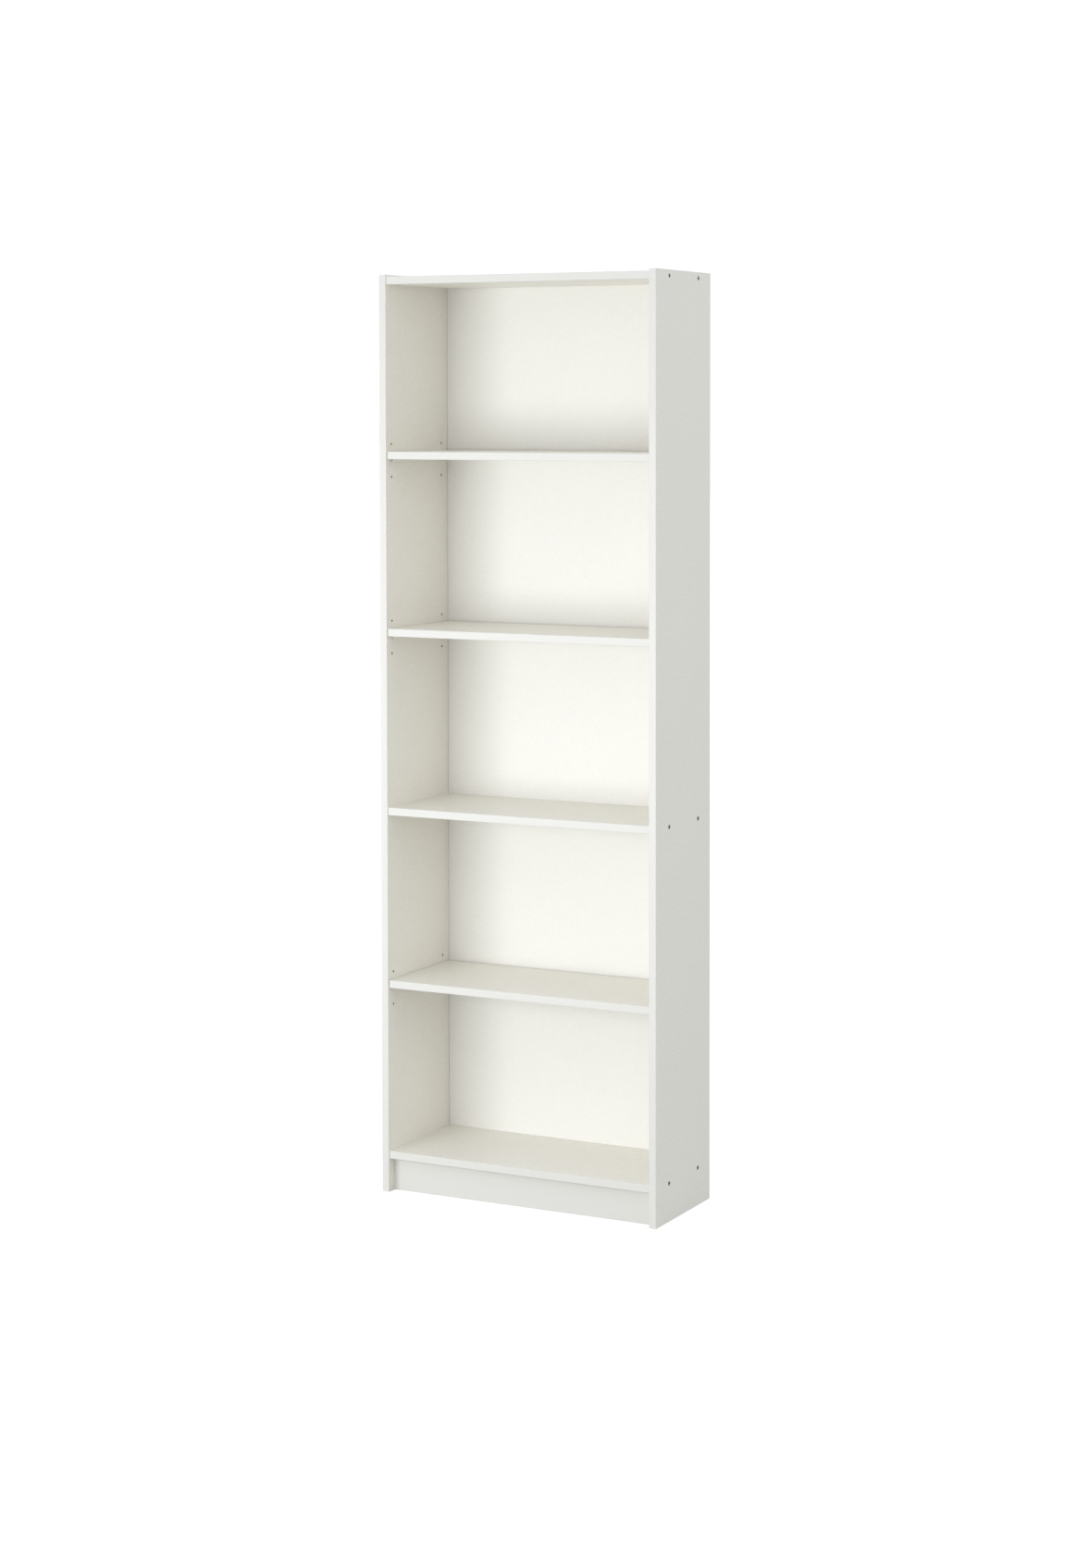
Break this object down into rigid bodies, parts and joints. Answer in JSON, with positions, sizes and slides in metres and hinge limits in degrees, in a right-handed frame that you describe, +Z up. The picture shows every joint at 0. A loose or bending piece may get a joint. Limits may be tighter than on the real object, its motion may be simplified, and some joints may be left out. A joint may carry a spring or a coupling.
{
  "type": "bookcase with adjustable shelves",
  "caption": "Tall narrow open bookcase of white foil-covered board with a recessed plinth, a fixed middle shelf and loose shelves on pins.",
  "frame": {"origin": "centre of the footprint, on the floor", "axes": "+Z up, -Y the open front, +X to the right for someone facing the front"},
  "size_m": [0.6, 0.24, 1.8],
  "materials": {
    "board_foil": "satin white foil over chipboard",
    "back_foil": "satin white lacquer on the front, bare brown hardboard behind",
    "pin_steel": "bright nickel plate",
    "screw_steel": "zinc plate",
    "nail_steel": "bare steel",
    "dowel_wood": "bare beech"
  },
  "bodies": {
    "case": {"side_panel_left": "board_foil", "side_panel_right": "board_foil", "top_panel": "board_foil", "middle_shelf": "board_foil", "bottom_shelf": "board_foil", "plinth": "board_foil", "back_panel": "back_foil", "plinth_dowels": "dowel_wood", "top_panel_screws": "screw_steel", "middle_shelf_screws": "screw_steel", "bottom_shelf_screws": "screw_steel", "back_panel_nails": "nail_steel"},
    "upper_shelf": {"upper_adjustable_shelf": "board_foil"},
    "upper_shelf_pin_front_left": {"upper_shelf_pin_front_left": "pin_steel"},
    "upper_shelf_pin_front_right": {"upper_shelf_pin_front_right": "pin_steel"},
    "upper_shelf_pin_rear_left": {"upper_shelf_pin_rear_left": "pin_steel"},
    "upper_shelf_pin_rear_right": {"upper_shelf_pin_rear_right": "pin_steel"},
    "centre_shelf": {"centre_adjustable_shelf": "board_foil"},
    "centre_shelf_pin_front_left": {"centre_shelf_pin_front_left": "pin_steel"},
    "centre_shelf_pin_front_right": {"centre_shelf_pin_front_right": "pin_steel"},
    "centre_shelf_pin_rear_left": {"centre_shelf_pin_rear_left": "pin_steel"},
    "centre_shelf_pin_rear_right": {"centre_shelf_pin_rear_right": "pin_steel"},
    "lower_shelf": {"lower_adjustable_shelf": "board_foil"},
    "lower_shelf_pin_front_left": {"lower_shelf_pin_front_left": "pin_steel"},
    "lower_shelf_pin_front_right": {"lower_shelf_pin_front_right": "pin_steel"},
    "lower_shelf_pin_rear_left": {"lower_shelf_pin_rear_left": "pin_steel"},
    "lower_shelf_pin_rear_right": {"lower_shelf_pin_rear_right": "pin_steel"}
  },
  "joints": [
    {"name": "upper_shelf_lift", "type": "slide", "parent": "case", "child": "upper_shelf", "axis": [0, 0, 1], "range_m": [0, 0.324]},
    {"name": "upper_shelf_pin_front_left_pull", "type": "slide", "parent": "case", "child": "upper_shelf_pin_front_left", "axis": [1, 0, 0], "range_m": [0, 0.009]},
    {"name": "upper_shelf_pin_front_right_pull", "type": "slide", "parent": "case", "child": "upper_shelf_pin_front_right", "axis": [-1, 0, 0], "range_m": [0, 0.009]},
    {"name": "upper_shelf_pin_rear_left_pull", "type": "slide", "parent": "case", "child": "upper_shelf_pin_rear_left", "axis": [1, 0, 0], "range_m": [0, 0.009]},
    {"name": "upper_shelf_pin_rear_right_pull", "type": "slide", "parent": "case", "child": "upper_shelf_pin_rear_right", "axis": [-1, 0, 0], "range_m": [0, 0.009]},
    {"name": "centre_shelf_lift", "type": "slide", "parent": "case", "child": "centre_shelf", "axis": [0, 0, 1], "range_m": [0, 0.3243]},
    {"name": "centre_shelf_pin_front_left_pull", "type": "slide", "parent": "case", "child": "centre_shelf_pin_front_left", "axis": [1, 0, 0], "range_m": [0, 0.009]},
    {"name": "centre_shelf_pin_front_right_pull", "type": "slide", "parent": "case", "child": "centre_shelf_pin_front_right", "axis": [-1, 0, 0], "range_m": [0, 0.009]},
    {"name": "centre_shelf_pin_rear_left_pull", "type": "slide", "parent": "case", "child": "centre_shelf_pin_rear_left", "axis": [1, 0, 0], "range_m": [0, 0.009]},
    {"name": "centre_shelf_pin_rear_right_pull", "type": "slide", "parent": "case", "child": "centre_shelf_pin_rear_right", "axis": [-1, 0, 0], "range_m": [0, 0.009]},
    {"name": "lower_shelf_lift", "type": "slide", "parent": "case", "child": "lower_shelf", "axis": [0, 0, 1], "range_m": [0, 0.325]},
    {"name": "lower_shelf_pin_front_left_pull", "type": "slide", "parent": "case", "child": "lower_shelf_pin_front_left", "axis": [1, 0, 0], "range_m": [0, 0.009]},
    {"name": "lower_shelf_pin_front_right_pull", "type": "slide", "parent": "case", "child": "lower_shelf_pin_front_right", "axis": [-1, 0, 0], "range_m": [0, 0.009]},
    {"name": "lower_shelf_pin_rear_left_pull", "type": "slide", "parent": "case", "child": "lower_shelf_pin_rear_left", "axis": [1, 0, 0], "range_m": [0, 0.009]},
    {"name": "lower_shelf_pin_rear_right_pull", "type": "slide", "parent": "case", "child": "lower_shelf_pin_rear_right", "axis": [-1, 0, 0], "range_m": [0, 0.009]}
  ]
}
